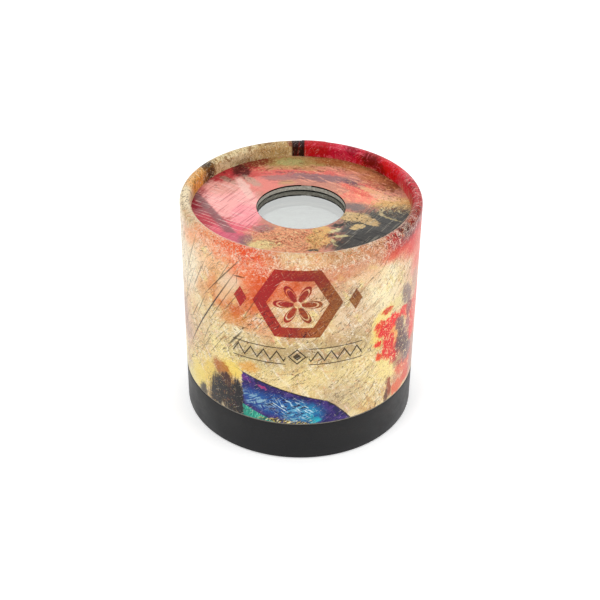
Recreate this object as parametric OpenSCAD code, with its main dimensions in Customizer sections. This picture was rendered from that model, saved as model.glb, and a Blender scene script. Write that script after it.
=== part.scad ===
// Drum kaleidoscope. A printed board drum with a rolled rim turns on a black base.
// The drum holds the eyepiece window and the mirror prism, and the base holds the object cell,
// a flat chamber of loose beads between a clear cover and a frosted diffuser.
// Millimetres, +Z up. The origin is on the drum's axis, in the plane that the base stands on.

/* [Drum] */
// Outside diameter of the drum and of the base
drum_d = 80; // [76:1:90]
// Height from the table to the top of the rolled rim
total_h = 80; // [70:1:100]
// Thickness of the drum's board
board_t = 1.6; // [1.4:0.1:1.8]
// Thickness of the printed paper
paper_t = 0.2; // [0.1:0.05:0.25]
// Width of the rolled rim, with its paper
rim_w = 3.6; // [3:0.1:4]
// Depth from the top of the rim to the printed disc
recess_h = 5; // [4.5:0.1:6]

/* [Eyepiece] */
// Diameter of the hole in the printed disc
window_d = 29.5; // [24:0.5:31]
// Thickness of the clear eyepiece window
window_t = 2; // [1.5:0.1:2.5]

/* [Mirrors] */
// Thickness of each mirror strip
mirror_t = 2; // [1:0.1:3]

/* [Base] */
// Height of the black base
base_h = 14.6; // [14:0.1:18]
// Radial running clearance between the base and the drum's collar
run_gap = 0.2; // [0.15:0.01:0.3]

/* [Object cell] */
// Clear height inside the object cell
cell_h = 5; // [4.8:0.1:5.4]
// Number of loose beads of all kinds
bead_count = 49; // [7:7:49]

/* [Hidden] */
$fn = 128;

// Slack between pieces that are pushed or glued together
glue_gap = 0.05;
drum_r = drum_d / 2;

// Base: an L-shaped ring. The cell sits in its pocket, and its sleeve turns round the collar.
wrap_r = drum_r - paper_t;
sleeve_t = 1.45;
sleeve_r = wrap_r - sleeve_t;
floor_t = 1.5;
floor_r = sleeve_r - 5.35;
pocket_r = sleeve_r - 2;
pocket_h = 5.2;
edge_chamfer = 0.4;
groove_z = [8.2, 9.8];
groove_depth = 0.6;

// Object cell, a stack in the pocket: diffuser, spacer, cover, lock ring
cell_r = pocket_r - glue_gap;
diffuser_t = 1.5;
cover_t = 1.2;
lock_t = 0.4;
cell_wall = 1.5;
cell_floor_z = floor_t + diffuser_t;
cover_z = cell_floor_z + cell_h;
lock_z = cover_z + cover_t;

// Collar, fixed inside the foot of the drum. Its bead snaps into the base's groove.
collar_r = sleeve_r - run_gap;
collar_in_r = cell_r + 0.3;
collar_z = pocket_h + 0.3;
collar_top = 22;
bead_z = [8.5, 9.5];
bead_out = 0.6;
ledge_z = lock_z + lock_t + 0.8;
ledge_t = 0.8;
ledge_w = 1.4;

// Drum: its foot stands on a thin washer over the base
washer_t = 0.35;
washer_gap = 0.05;
drum_z = base_h + washer_gap + washer_t;
wall_r = wrap_r - board_t;
rim_board_r = rim_w / 2 - paper_t;
rim_mid_r = drum_r - rim_w / 2;
rim_mid_z = total_h - rim_w / 2;
disc_top = total_h - recess_h;

// Eyepiece stack under the printed disc: disc, seal, window in its carrier
disc_r = wall_r - 0.1;
disc_z = disc_top - paper_t - board_t;
seal_t = 0.3;
seal_lap = 4.5;
window_r = window_d / 2 + 5;
window_z = disc_z - seal_t - window_t;
carrier_lip_t = 1;
carrier_lip_r = window_r - 2;
carrier_z = window_z - carrier_lip_t;

// Mirror prism: an equilateral triangle that just clears the window, between two slotted plates
plate_r = collar_in_r - glue_gap;
prism_in_r = min(window_d / 2 + 0.5, (plate_r - 5) / 2);
mirror_w = prism_in_r * 2 * tan(60);
rebate = 0.8;
rebate_slack = 0.1;
lower_plate_z = ledge_z + ledge_t;
lower_plate_t = 2;
upper_plate_t = 2.5;
upper_plate_z = carrier_z - upper_plate_t;
mirror_z = lower_plate_z + lower_plate_t - rebate;
mirror_h = upper_plate_z + rebate - mirror_z;
tape_t = 0.25;
tape_lap = 6;
tape_inset = 2;
packing_w = 2 * (mirror_w / 2 - tape_lap - 0.5);
packing_inset = 1;

// Loose beads, spread over the diffuser on a sunflower spiral
BEAD_KINDS = 7;
GOLDEN_ANGLE = 137.508;
bead_reach = cell_r - cell_wall - 4;
bead_pitch = bead_reach / sqrt(bead_count);
bead_lift = 0.15;
bead_rest_z = cell_floor_z + bead_lift;

// A flat ring between two radii
module ring(outer, inner, z, h) {
    translate([0, 0, z])
        difference() {
            cylinder(r = outer, h = h);
            translate([0, 0, -1]) cylinder(r = inner, h = h + 2);
        }
}

// ---- Base and object cell ----

module base_ring() {
    color("#1c1c1f")
        rotate_extrude()
            polygon([
                [floor_r, 0],
                [wrap_r - edge_chamfer, 0],
                [wrap_r, edge_chamfer],
                [wrap_r, base_h],
                [sleeve_r, base_h],
                [sleeve_r, groove_z[1]],
                [sleeve_r + groove_depth, groove_z[1]],
                [sleeve_r + groove_depth, groove_z[0]],
                [sleeve_r, groove_z[0]],
                [sleeve_r, pocket_h],
                [pocket_r, pocket_h],
                [pocket_r, floor_t],
                [floor_r, floor_t],
            ]);
}

module base_wrap() {
    color("#262629") ring(drum_r, wrap_r, edge_chamfer, base_h - edge_chamfer);
}

module cell_diffuser() {
    color("#f2f2ee") translate([0, 0, floor_t]) cylinder(r = cell_r, h = diffuser_t);
}

module cell_spacer() {
    color("#d8d8d4") ring(cell_r, cell_r - cell_wall, cell_floor_z, cell_h);
}

module cell_cover() {
    color("#dfeeee", 0.4) translate([0, 0, cover_z]) cylinder(r = cell_r, h = cover_t);
}

module cell_lock_ring() {
    color("#1c1c1f") ring(cell_r, cell_r - 2.3, lock_z, lock_t);
}

// ---- Loose beads ----

// Puts the child at each of the places that belong to one kind of bead, turned a different way
module scatter(kind) {
    for (k = [kind : BEAD_KINDS : bead_count - 1])
        rotate([0, 0, k * GOLDEN_ANGLE])
            translate([bead_pitch * sqrt(k + 0.5), 0, bead_rest_z])
                rotate([0, 0, k * 97])
                    children();
}

module ruby_beads(d = 4.2, bore = 1.2) {
    color("#c31230")
        scatter(0)
            translate([0, 0, d / 2])
                rotate([90, 0, 0])
                    difference() {
                        sphere(d = d);
                        cylinder(d = bore, h = 2 * d, center = true);
                    }
}

module amber_beads(d = 3.4) {
    color("#e79a1c") scatter(1) translate([0, 0, d / 2]) sphere(d = d);
}

module sapphire_tubes(d = 2.2, bore = 1, length = 6) {
    color("#1f4fb5")
        scatter(2)
            translate([0, 0, d / 2])
                rotate([0, 90, 0])
                    difference() {
                        cylinder(d = d, h = length, center = true);
                        cylinder(d = bore, h = length + 2, center = true);
                    }
}

module emerald_chips(r = 2.8, h = 1.6) {
    color("#158a5b") scatter(3) cylinder(r = r, h = h, $fn = 3);
}

module pearl_rings(d = 4.4, wire = 1.3) {
    color("#efe6d6")
        scatter(4)
            translate([0, 0, wire / 2])
                rotate_extrude() translate([(d - wire) / 2, 0]) circle(d = wire);
}

module gold_stars(tip = 2.9, notch = 1.25, h = 0.7) {
    color("#d9b13b")
        scatter(5)
            linear_extrude(h)
                polygon([for (i = [0 : 9]) (i % 2 == 0 ? tip : notch) * [cos(36 * i), sin(36 * i)]]);
}

module violet_hexes(r = 2.4, bore = 1.6, h = 1.8) {
    color("#7a3aa8")
        scatter(6)
            difference() {
                cylinder(r = r, h = h, $fn = 6);
                translate([0, 0, -1]) cylinder(d = bore, h = h + 2);
            }
}

// ---- Turning joint ----

module glide_washer() {
    color("#6e685f") ring(drum_r - 0.1, wall_r + 0.1, base_h + washer_gap, washer_t);
}

module bearing_collar() {
    color("#2b2b2e")
        rotate_extrude()
            polygon([
                [collar_in_r, collar_z],
                [collar_r, collar_z],
                [collar_r, bead_z[0]],
                [collar_r + bead_out, bead_z[0] + 0.3],
                [collar_r + bead_out, bead_z[1] - 0.3],
                [collar_r, bead_z[1]],
                [collar_r, collar_top],
                [collar_in_r, collar_top],
                [collar_in_r, ledge_z + ledge_t],
                [collar_in_r - ledge_w, ledge_z + ledge_t],
                [collar_in_r - ledge_w, ledge_z],
                [collar_in_r, ledge_z],
            ]);
}

// ---- Drum ----

// Half section of the drum's wall and rolled rim, with its outer skin grown outwards
module drum_section(grow = 0) {
    foot_z = drum_z + paper_t - grow;
    skin_r = rim_board_r + grow;
    translate([wall_r, foot_z]) square([board_t + grow, disc_top - foot_z]);
    translate([rim_mid_r - skin_r, disc_top]) square([2 * skin_r, rim_mid_z - disc_top]);
    translate([rim_mid_r, rim_mid_z]) circle(r = skin_r);
}

module drum_tube() {
    color("#a39c8e") rotate_extrude() drum_section();
}

module printed_wrap() {
    color("#e3a480")
        rotate_extrude()
            difference() {
                drum_section(paper_t);
                drum_section();
            }
}

module liner_tube() {
    color("#a39c8e") ring(collar_r, collar_in_r, collar_top, carrier_z - collar_top);
}

// ---- Eyepiece ----

module top_disc() {
    color("#b5b0a6") ring(disc_r, window_d / 2, disc_z, board_t);
}

module top_disc_print() {
    color("#c9544f") ring(disc_r, window_d / 2, disc_z + board_t, paper_t);
}

module window_seal() {
    color("#17171a") ring(window_d / 2 + seal_lap, window_d / 2 + 0.3, disc_z - seal_t, seal_t);
}

module eyepiece_window() {
    color("#dfe4e3", 0.5) translate([0, 0, window_z]) cylinder(r = window_r, h = window_t);
}

module window_carrier() {
    color("#a39c8e")
        difference() {
            ring(disc_r, carrier_lip_r, carrier_z, disc_z - carrier_z);
            translate([0, 0, window_z]) cylinder(r = window_r + rebate_slack, h = disc_z - window_z + 1);
        }
}

// ---- Mirror prism ----

// Puts the child on one of the prism's three sides, or over one of its edges with turn = 60
module prism_side(index, turn = 0) {
    rotate([0, 0, 120 * index + turn]) children();
}

// One mirror strip's outline seen from above, on the +Y side
module mirror_outline(slack = 0) {
    translate([-mirror_w / 2 - slack, prism_in_r - slack])
        square([mirror_w + 2 * slack, mirror_t + 2 * slack]);
}

// A plate with the prism's opening and a shallow rebate for the ends of the mirrors
module mirror_plate(z, t, rebate_from, rebate_to) {
    color("#26241f")
        difference() {
            translate([0, 0, z]) cylinder(r = plate_r, h = t);
            translate([0, 0, z - 1])
                rotate([0, 0, -90]) cylinder(r = 2 * prism_in_r, h = t + 2, $fn = 3);
            for (i = [0 : 2])
                prism_side(i)
                    translate([0, 0, rebate_from])
                        linear_extrude(rebate_to - rebate_from) mirror_outline(rebate_slack);
        }
}

module upper_mirror_plate() {
    mirror_plate(upper_plate_z, upper_plate_t, upper_plate_z - 1, upper_plate_z + rebate);
}

module lower_mirror_plate() {
    mirror_plate(lower_plate_z, lower_plate_t, mirror_z, mirror_z + rebate + 1);
}

module mirror_strip(index) {
    color("#c9d2d6")
        prism_side(index) translate([0, 0, mirror_z]) linear_extrude(mirror_h) mirror_outline();
}

function mirrored(p) = [-p.x, p.y];

// Tape that holds two mirrors together, folded over the outside of the prism's edge
module mirror_tape(index) {
    along = [sin(30), -cos(30)];
    out = [cos(30), sin(30)];
    corner = [0, 2 * prism_in_r] + mirror_t * out;
    end = corner + tape_lap * along;
    inside = [end, corner];
    outside = [end + tape_t * out, corner + tape_t * [tan(30), 1]];
    color("#141416")
        prism_side(index, 60)
            translate([0, 0, mirror_z + tape_inset])
                linear_extrude(mirror_h - 2 * tape_inset)
                    polygon([
                        inside[0],
                        inside[1],
                        mirrored(inside[1]),
                        mirrored(inside[0]),
                        mirrored(outside[0]),
                        mirrored(outside[1]),
                        outside[1],
                        outside[0],
                    ]);
}

// Corrugated card block that fills the space between a mirror's back and the liner
module packing_block(index) {
    back = prism_in_r + mirror_t + glue_gap;
    z = lower_plate_z + lower_plate_t + packing_inset;
    h = upper_plate_z - packing_inset - z;
    color("#a98860")
        prism_side(index)
            intersection() {
                translate([0, 0, z]) cylinder(r = plate_r - 0.1, h = h);
                translate([-packing_w / 2, back, z]) cube([packing_w, plate_r, h]);
            }
}

// ---- Nodes ----

base_ring();
base_wrap();
cell_diffuser();
cell_spacer();
cell_cover();
cell_lock_ring();
ruby_beads();
amber_beads();
sapphire_tubes();
emerald_chips();
pearl_rings();
gold_stars();
violet_hexes();
glide_washer();
bearing_collar();
liner_tube();
drum_tube();
printed_wrap();
top_disc();
top_disc_print();
window_seal();
eyepiece_window();
window_carrier();
upper_mirror_plate();
lower_mirror_plate();
mirror_strip(0);  // mirror_1
mirror_strip(1);  // mirror_2
mirror_strip(2);  // mirror_3
mirror_tape(0);  // mirror_tape_1
mirror_tape(1);  // mirror_tape_2
mirror_tape(2);  // mirror_tape_3
packing_block(0);  // packing_block_1
packing_block(1);  // packing_block_2
packing_block(2);  // packing_block_3
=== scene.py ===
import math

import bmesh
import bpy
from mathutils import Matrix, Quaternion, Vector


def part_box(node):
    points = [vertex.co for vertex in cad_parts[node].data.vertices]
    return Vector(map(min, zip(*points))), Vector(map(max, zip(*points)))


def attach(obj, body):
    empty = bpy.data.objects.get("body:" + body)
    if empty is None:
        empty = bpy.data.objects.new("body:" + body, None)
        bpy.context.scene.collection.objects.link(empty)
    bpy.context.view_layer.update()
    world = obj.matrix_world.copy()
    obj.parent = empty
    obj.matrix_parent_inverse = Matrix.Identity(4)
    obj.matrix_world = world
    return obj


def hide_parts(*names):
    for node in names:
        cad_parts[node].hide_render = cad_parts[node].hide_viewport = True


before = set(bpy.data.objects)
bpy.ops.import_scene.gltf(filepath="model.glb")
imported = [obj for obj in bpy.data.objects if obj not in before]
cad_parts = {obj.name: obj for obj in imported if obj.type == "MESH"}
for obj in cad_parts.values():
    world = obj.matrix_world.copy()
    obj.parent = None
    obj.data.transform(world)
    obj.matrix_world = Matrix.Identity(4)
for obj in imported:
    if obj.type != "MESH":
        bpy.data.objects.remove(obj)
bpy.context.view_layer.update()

# The looks of a drum kaleidoscope: a paper-covered board drum on a turning black base.
# Metres in the row frame, +Z up. The front of the printed paper is -Y and its seam is at +Y.
# Print layouts are in millimetres, and angles round the drum are in degrees from the front.

MM = 0.001

# ---- Sizes from the frame ----

WRAP_LOW, WRAP_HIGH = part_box("printed_wrap")
DRUM_R = WRAP_HIGH.x
TOP_Z = WRAP_HIGH.z
FOOT_Z = WRAP_LOW.z
DISC_LOW, DISC_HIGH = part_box("top_disc_print")
DISC_Z = DISC_HIGH.z
BASE_LOW, BASE_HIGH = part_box("base_wrap")
PAPER_T = DRUM_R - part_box("drum_tube")[1].x
SEAL_LAP = 4.5 * MM
HOLE_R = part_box("window_seal")[1].x - SEAL_LAP
WASHER_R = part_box("glide_washer")[1].x
RIM_W = 3.6 * MM
RIM_R = RIM_W / 2
RIM_MID_R = DRUM_R - RIM_R
RIM_MID_Z = TOP_Z - RIM_R


# ---- Node graphs ----


def srgb(code):
    """A colour written as #rrggbb, as a shader's linear colour."""
    channels = [int(code[i:i + 2], 16) / 255 for i in (1, 3, 5)]
    linear = [c / 12.92 if c <= 0.04045 else ((c + 0.055) / 1.055) ** 2.4 for c in channels]
    return (*linear, 1.0)


class Graph:
    """One material's nodes. Calls take and give sockets, so that they nest like formulas."""

    def __init__(self, name):
        self.material = bpy.data.materials.new(name)
        self.material.use_nodes = True
        self.tree = self.material.node_tree
        self.tree.nodes.clear()

    def put(self, kind, inputs=None, **settings):
        """Adds a node. inputs are values for its sockets, or sockets to link to them."""
        node = self.tree.nodes.new("ShaderNode" + kind)
        for key, value in settings.items():
            setattr(node, key, value)
        for key, value in (inputs or {}).items():
            if isinstance(value, bpy.types.NodeSocket):
                self.tree.links.new(value, node.inputs[key])
            else:
                node.inputs[key].default_value = value
        return node

    def math(self, operation, a, b=0.0, c=0.0):
        return self.put("Math", {0: a, 1: b, 2: c}, operation=operation).outputs[0]

    def both(self, *masks):
        """Where all the masks are."""
        whole = masks[0]
        for mask in masks[1:]:
            whole = self.math("MULTIPLY", whole, mask)
        return whole

    def vector(self, operation, a, b=(0, 0, 0), c=(0, 0, 0)):
        return self.put("VectorMath", {0: a, 1: b, 2: c}, operation=operation).outputs[0]

    def dot(self, a, b):
        return self.put("VectorMath", {0: a, 1: b}, operation="DOT_PRODUCT").outputs["Value"]

    def length(self, vector):
        return self.put("VectorMath", {0: vector}, operation="LENGTH").outputs["Value"]

    def span(self, value, start, end, low=0.0, high=1.0):
        """low where value is start, high where it is end, with a smooth change between."""
        inputs = {"Value": value, "From Min": start, "From Max": end, "To Min": low, "To Max": high}
        node = self.put("MapRange", inputs, interpolation_type="SMOOTHSTEP", clamp=False)
        return node.outputs[0]

    def mix(self, factor, a, b, blend="MIX"):
        node = self.put("Mix", {0: factor, 6: a, 7: b}, data_type="RGBA", blend_type=blend)
        return node.outputs[2]

    def local(self, vector, place=(0, 0), turn=0.0, size=(1, 1)):
        """vector as seen from a place in the print, turned by degrees and measured in size."""
        inputs = {"Vector": vector, "Location": (*place, 0), "Scale": (*size, 1)}
        inputs["Rotation"] = (0, 0, math.radians(turn))
        return self.put("Mapping", inputs, vector_type="TEXTURE").outputs[0]

    def noise(self, vector, scale, detail=2.0, rough=0.5, distortion=0.0, output="Fac"):
        inputs = {"Vector": vector, "Scale": scale, "Detail": detail}
        inputs.update({"Roughness": rough, "Distortion": distortion})
        return self.put("TexNoise", inputs).outputs[output]

    def ramp(self, value, *stops):
        """Colours along a value. Each stop is (place, #rrggbb)."""
        node = self.put("ValToRGB", {0: value})
        elements = node.color_ramp.elements
        while len(elements) < len(stops):
            elements.new(1.0)
        for element, (place, code) in zip(elements, stops):
            element.position = place
            element.color = srgb(code)
        return node.outputs[0]

    def position(self):
        """The place on the piece, in mm."""
        at = {0: self.put("TexCoord").outputs["Object"], "Scale": 1 / MM}
        return self.put("VectorMath", at, operation="SCALE").outputs[0]

    def bump(self, height, depth, strength):
        inputs = {"Height": height, "Distance": depth * MM, "Strength": strength}
        return self.put("Bump", inputs).outputs[0]

    def finish(self, surface):
        self.put("OutputMaterial", {"Surface": surface}).is_active_output = True
        return self.material

    def solid(self, tone, **inputs):
        """Ends the graph in one Principled shader. Names such as coat_weight are its sockets."""
        named = {key.replace("_", " ").title().replace("Ior", "IOR"): v for key, v in inputs.items()}
        return self.finish(self.put("BsdfPrincipled", {"Base Color": tone, **named}).outputs[0])

    def worn(self, tone, marks, sleek, rough, relief=None, **more):
        """Ends it in a surface that marks make smoother or rougher. relief is what bump takes."""
        if relief:
            more["normal"] = self.bump(*relief)
        return self.solid(tone, roughness=self.span(marks, 0.3, 0.7, sleek, rough), **more)


# ---- The print ----


class Print(Graph):
    """A printed picture, painted in layers on a canvas in mm, which the UV layer print holds.

    Each painter works in a node group of its own. Noise is taken at the edge called at, and
    shapes at edges that noise has pushed about, so that their outlines drift or tear.

    Cycles has little room for results that wait while others are worked out. So nearly all
    shapes come from mapped gradients, each painted as soon as it is known, and no mask is
    clamped, because a clamp is worked out after everything else.
    """

    VECTORS = ("at", "soft", "rough", "clean")
    MARKS = ("grain", "speck")
    NUDGE = (0.001, 0.001)

    def __init__(self, name, paper, place=lambda x, y: (x, y)):
        super().__init__(name)
        self.place = place
        flat = self.put("UVMap", uv_map="print").outputs[0]
        middle = (0.5, 0.5, 0.5)
        drift = self.vector("SUBTRACT", self.noise(flat, 0.09, 2, output="Color"), middle)
        ragged = self.vector("SUBTRACT", self.noise(flat, 0.7, 3, 0.65, output="Color"), middle)
        pushed = {
            "at": self.push(flat, ragged, 0.02),
            "soft": self.push(flat, drift, 9.0),
            "rough": self.push(self.push(flat, drift, 3.0), ragged, 3.2),
            "clean": self.push(flat, ragged, 0.35),
        }
        self.edges = {edge: self.local(pushed[edge], self.NUDGE) for edge in self.VECTORS}
        self.grain = self.noise(self.at, 2.6, 3, 0.7)
        self.speck = self.noise(self.at, 5.5, 2, 0.6)
        self.canvas = srgb(paper)

    @property
    def at(self):
        return self.edges["at"]

    def push(self, at, noise, reach):
        """at, moved by coloured noise over up to half of reach."""
        return self.vector("MULTIPLY_ADD", noise, (reach, reach, 0), at)

    def layer(self, painter):
        """Lets painter work on the canvas, in a node group named after it."""
        group = bpy.data.node_groups.new(painter.__name__, "ShaderNodeTree")
        ports = [(name, "NodeSocketVector", self.edges[name]) for name in self.VECTORS]
        ports += [(name, "NodeSocketFloat", getattr(self, name)) for name in self.MARKS]
        ports.append(("canvas", "NodeSocketColor", self.canvas))
        for name, kind, _ in ports:
            group.interface.new_socket(name, in_out="INPUT", socket_type=kind)
        group.interface.new_socket("canvas", in_out="OUTPUT", socket_type="NodeSocketColor")
        whole, edges, grain, speck = self.tree, self.edges, self.grain, self.speck
        self.tree = group
        inside = group.nodes.new("NodeGroupInput").outputs
        self.edges = {name: inside[name] for name in self.VECTORS}
        self.grain, self.speck, self.canvas = (inside[name] for name in (*self.MARKS, "canvas"))
        painter(self)
        outside = group.nodes.new("NodeGroupOutput")
        group.links.new(self.canvas, outside.inputs["canvas"])
        self.tree, self.edges, self.grain, self.speck = whole, edges, grain, speck
        node = whole.nodes.new("ShaderNodeGroup")
        node.node_tree = group
        for name, _, value in ports:
            if isinstance(value, bpy.types.NodeSocket):
                whole.links.new(value, node.inputs[name])
            else:
                node.inputs[name].default_value = value
        self.canvas = node.outputs["canvas"]

    def streak(self, turn, fineness=2.2, stretch=9.0):
        """Noise drawn out into brush marks along a direction in degrees."""
        return self.noise(self.local(self.at, (0, 0), turn, (stretch, 1)), fineness, 3, 0.65)

    def gradient(self, vector, kind):
        return self.put("TexGradient", {"Vector": vector}, gradient_type=kind).outputs["Fac"]

    def lay(self, mask, colour, blend="MIX"):
        """Lays a colour on the canvas where a mask is."""
        tint = srgb(colour) if isinstance(colour, str) else colour
        self.canvas = self.mix(mask, self.canvas, tint, blend)

    def fleck(self, zone, marks, low, high, colour, part=1.0):
        """Lays a colour where marks are strong, within a zone."""
        self.lay(self.both(zone, self.span(marks, low, high, 0.0, part)), colour)

    def wear(self, marks, low, high, colour, part):
        """Lays a colour wherever marks are strong."""
        self.lay(self.span(marks, low, high, 0.0, part), colour)

    def blots(self, scale, rough=0.75, distortion=1.0, detail=4):
        return self.noise(self.at, scale, detail, rough, distortion)

    def spot(self, place, size, turn=0, soft=0.35, edge="rough", broken=0, marks=None, part=1.0):
        """Mask of an ellipse. broken says how far marks, or else the grain, break its edge up."""
        reach = 1 + soft + broken / 2
        full = (size[0] * reach, size[1] * reach)
        inside = self.gradient(self.local(self.edges[edge], place, turn, full), "SPHERICAL")
        if broken:
            marks = self.grain if marks is None else marks
            inside = self.math("MULTIPLY_ADD", marks, -broken / reach, inside)
        return self.span(inside, 0.0, 2 * soft / reach, 0.0, part)

    def dab(self, x, y, width, tall, colour, part=1.0, turn=0, **more):
        """Paints a spot at a place of the print, which on the wall is degrees and a height.

        width and tall are half its size in mm, part is how much it covers, and turn is degrees.
        """
        self.lay(self.spot(self.place(x, y), (width, tall), turn, part=part, **more), colour)

    def dabs(self, rows, **more):
        """Paints one spot for each row of what dab takes, in that order."""
        for row in rows:
            self.dab(*row, **more)

    def line(self, start, end, width, colour, part=1.0):
        """Draws a tapered pen stroke between two places in mm."""
        a, b = Vector(start), Vector(end)
        turn = math.degrees(math.atan2((b - a).y, (b - a).x))
        size = ((b - a).length / 2, width / 2)
        self.lay(self.spot((a + b) / 2, size, turn, 0.5, "clean", part=part), colour)

    def side(self, start, end, soft=0.4, edge="clean"):
        """Mask of everything to the right of the way from start to end."""
        a, b = Vector(start), Vector(end)
        right = Vector((b.y - a.y, a.x - b.x)).normalized()
        turn = math.degrees(math.atan2(right.y, right.x))
        across = self.local(self.edges[edge], a - soft * right, turn, (2 * soft, 2 * soft))
        return self.gradient(across, "EASING")

    def contour(self, value, level, width, part=1.0):
        """Mask of thin curling lines, where value is at a level."""
        away = self.math("ABSOLUTE", self.math("SUBTRACT", value, level))
        return self.span(away, width, width * 0.3, 0.0, part)


def on_wrap(degrees, height):
    """A place on the wrap's print: mm round the drum from the front, and mm along the paper."""
    return (math.radians(degrees) * DRUM_R / MM, height)


def paint_ground(p):
    """The wall's cream ground, with its large soft clouds of colour."""
    sand, straw, cream = (0.3, "#b98d62"), (0.42, "#dcb883"), (0.5, "#ecd8a2")
    clouds = p.blots(0.16, 0.72, 1.0, 5)
    p.canvas = p.ramp(clouds, sand, straw, cream, (0.6, "#f3e2ba"), (0.7, "#fbf0d6"))
    p.dabs((
        (-78, 66, 12, 26, "#fdf0dc", 0.9),
        (-48, 73, 15, 9, "#fbc49a", 0.9),
        (-62, 62, 10, 9, "#faecce", 0.9),
        (-66, 48, 7, 5, "#e4bc90", 0.8),
        (-57, 40, 7, 5, "#c9a27c", 0.6),
        (-44, 60, 8, 6, "#eaa468", 0.7),
        (-22, 57, 8, 8, "#e79a78", 0.7),
        (-8, 52, 7, 6, "#e3a482", 0.6),
        (12, 66, 14, 10, "#d9ae94", 0.7),
        (44, 62, 12, 12, "#fdf2cc", 0.95),
        (33, 72, 7, 5, "#ecc4a0", 0.8),
        (24, 62, 4, 4, "#a8907c", 0.7),
        (26, 54, 8, 9, "#e2c8aa", 0.8),
        (-45, 44, 12, 8, "#e2cba0", 0.8),
        (-32, 38, 9, 5, "#fbeaa6", 0.95),
        (-30, 46, 8, 4, "#f4e4b4", 0.8),
        (-12, 42, 14, 6, "#b8a47c", 0.8),
        (16, 42, 12, 7, "#b39f7c", 0.85),
        (28, 46, 5, 4, "#bca47c", 0.7),
        (2, 35, 16, 4, "#f0dca4", 0.8),
        (36, 34, 9, 9, "#f6e4ac", 0.9),
        (20, 25, 8, 8, "#cbb999", 0.8),
        (-56, 27, 9, 6, "#ecd48c", 0.8),
        (-74, 36, 9, 8, "#d8b0a2", 0.8),
        (-70, 18, 8, 4, "#d8cc9e", 0.8),
        (60, 60, 8, 12, "#ecd3ac", 0.8),
        (74, 66, 8, 16, "#e2a89a", 0.8),
        (82, 40, 9, 28, "#e6aba0", 0.9),
        (52, 27, 8, 6, "#f3dea0", 0.9),
        (66, 20, 10, 6, "#dc937e", 0.9),
    ), soft=0.7, edge="soft")


def brush_over(p):
    """Dry brushwork, blots, hairs and scribbles, thick in some patches and thin in others."""
    patches = p.span(p.blots(0.07, 0.6, 0.0, 3), 0.4, 0.56, 0.25, 1.0)
    others = p.span(p.blots(0.09, 0.6, 0.0, 3), 0.58, 0.44, 0.2, 1.0)
    for zone, scale, distortion, low, high, colour, part in (
        (others, 0.20, 0.8, 0.52, 0.62, "#f6e6a6", 0.7),
        (patches, 0.26, 1.2, 0.53, 0.64, "#cfa16c", 0.4),
        (others, 0.35, 1.5, 0.55, 0.64, "#e79c7c", 0.5),
        (patches, 0.7, 1, 0.54, 0.62, "#fff8e6", 0.6),
        (patches, 0.8, 1.5, 0.57, 0.65, "#8f6847", 0.35),
        (others, 1.1, 1.5, 0.56, 0.64, "#fdf3dc", 0.4),
    ):
        p.fleck(zone, p.blots(scale, 0.72, distortion), low, high, colour, part)
    for zone, turn, fineness, stretch, low, high, colour, part in (
        (patches, 40, 0.5, 5, 0.54, 0.64, "#b88653", 0.4),
        (others, 125, 0.6, 5, 0.54, 0.64, "#fff9e8", 0.45),
        (patches, 48, 1.3, 12, 0.59, 0.66, "#5d402b", 0.5),
        (patches, 105, 1.4, 12, 0.6, 0.67, "#7d5a3d", 0.4),
        (others, 5, 1.4, 14, 0.59, 0.67, "#8a6848", 0.35),
    ):
        p.fleck(zone, p.streak(turn, fineness, stretch), low, high, colour, part)
    for turn, fineness, stretch, level, width, colour, part in (
        (48, 0.22, 4, 0.47, 0.007, "#3f2a1c", 0.8),
        (30, 0.30, 5, 0.54, 0.006, "#5a3d2a", 0.7),
        (70, 0.34, 4, 0.44, 0.006, "#5f412c", 0.6),
    ):
        p.lay(p.contour(p.streak(turn, fineness, stretch), level, width, part), colour)


def paint_corals(p):
    """Orange and coral brushwork on the upper left of the wall, under fine white scratches."""
    brush = p.streak(35, 0.9, 4.0)
    p.dabs((
        (-24, 77, 13, 5, "#f08a64", 0.8),
        (-10, 70, 10, 7, "#d9583f", 0.75),
        (-21, 76, 7, 5, "#ec6040", 0.8),
        (-18, 66, 5, 6, "#d8604a", 0.7),
        (8, 72, 10, 3, "#c86a50", 0.6),
        (-27, 70, 5, 4, "#ee8563", 0.8, 20),
        (-37, 77, 5, 2.5, "#ee8a60", 0.8, 30),
        (-17, 70, 4, 5, "#df6c50", 0.7),
        (-58, 77, 4, 3, "#f09a68", 0.6, 50),
        (-38, 59, 5, 3.5, "#dd7c50", 0.6, 45),
        (-45, 63, 4, 2, "#e0946a", 0.6, 50),
        (-33, 53, 5, 2.2, "#dd8850", 0.6, 20),
        (-30, 57, 3, 2, "#d0603c", 0.6, 40),
        (-52, 57, 3, 4, "#dfa878", 0.6, 60),
        (-76, 41, 4, 6, "#9c7474", 0.5),
        (-70, 34, 5, 2, "#a88878", 0.5, 30),
        (-24, 61, 3, 4, "#d9603c", 0.6, 40),
        (-12, 79, 5, 2, "#efd9a6", 0.8),
        (-64, 74, 3, 4, "#f1ab80", 0.5, 60),
        (-34, 66, 4.5, 3, "#eed2b6", 0.8, 35),
        (-37, 61, 4, 2.4, "#edc9a2", 0.7, 35),
    ), soft=0.5, broken=1.1, marks=brush)
    zone = p.spot(on_wrap(-22, 76), (15, 8), soft=0.4, edge="soft")
    for turn, level in ((20, 0.5), (75, 0.48), (140, 0.52)):
        threads = p.contour(p.streak(turn, 0.35, 3), level, 0.009, 0.7)
        p.lay(p.both(zone, threads), "#fbe9d2")


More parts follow.
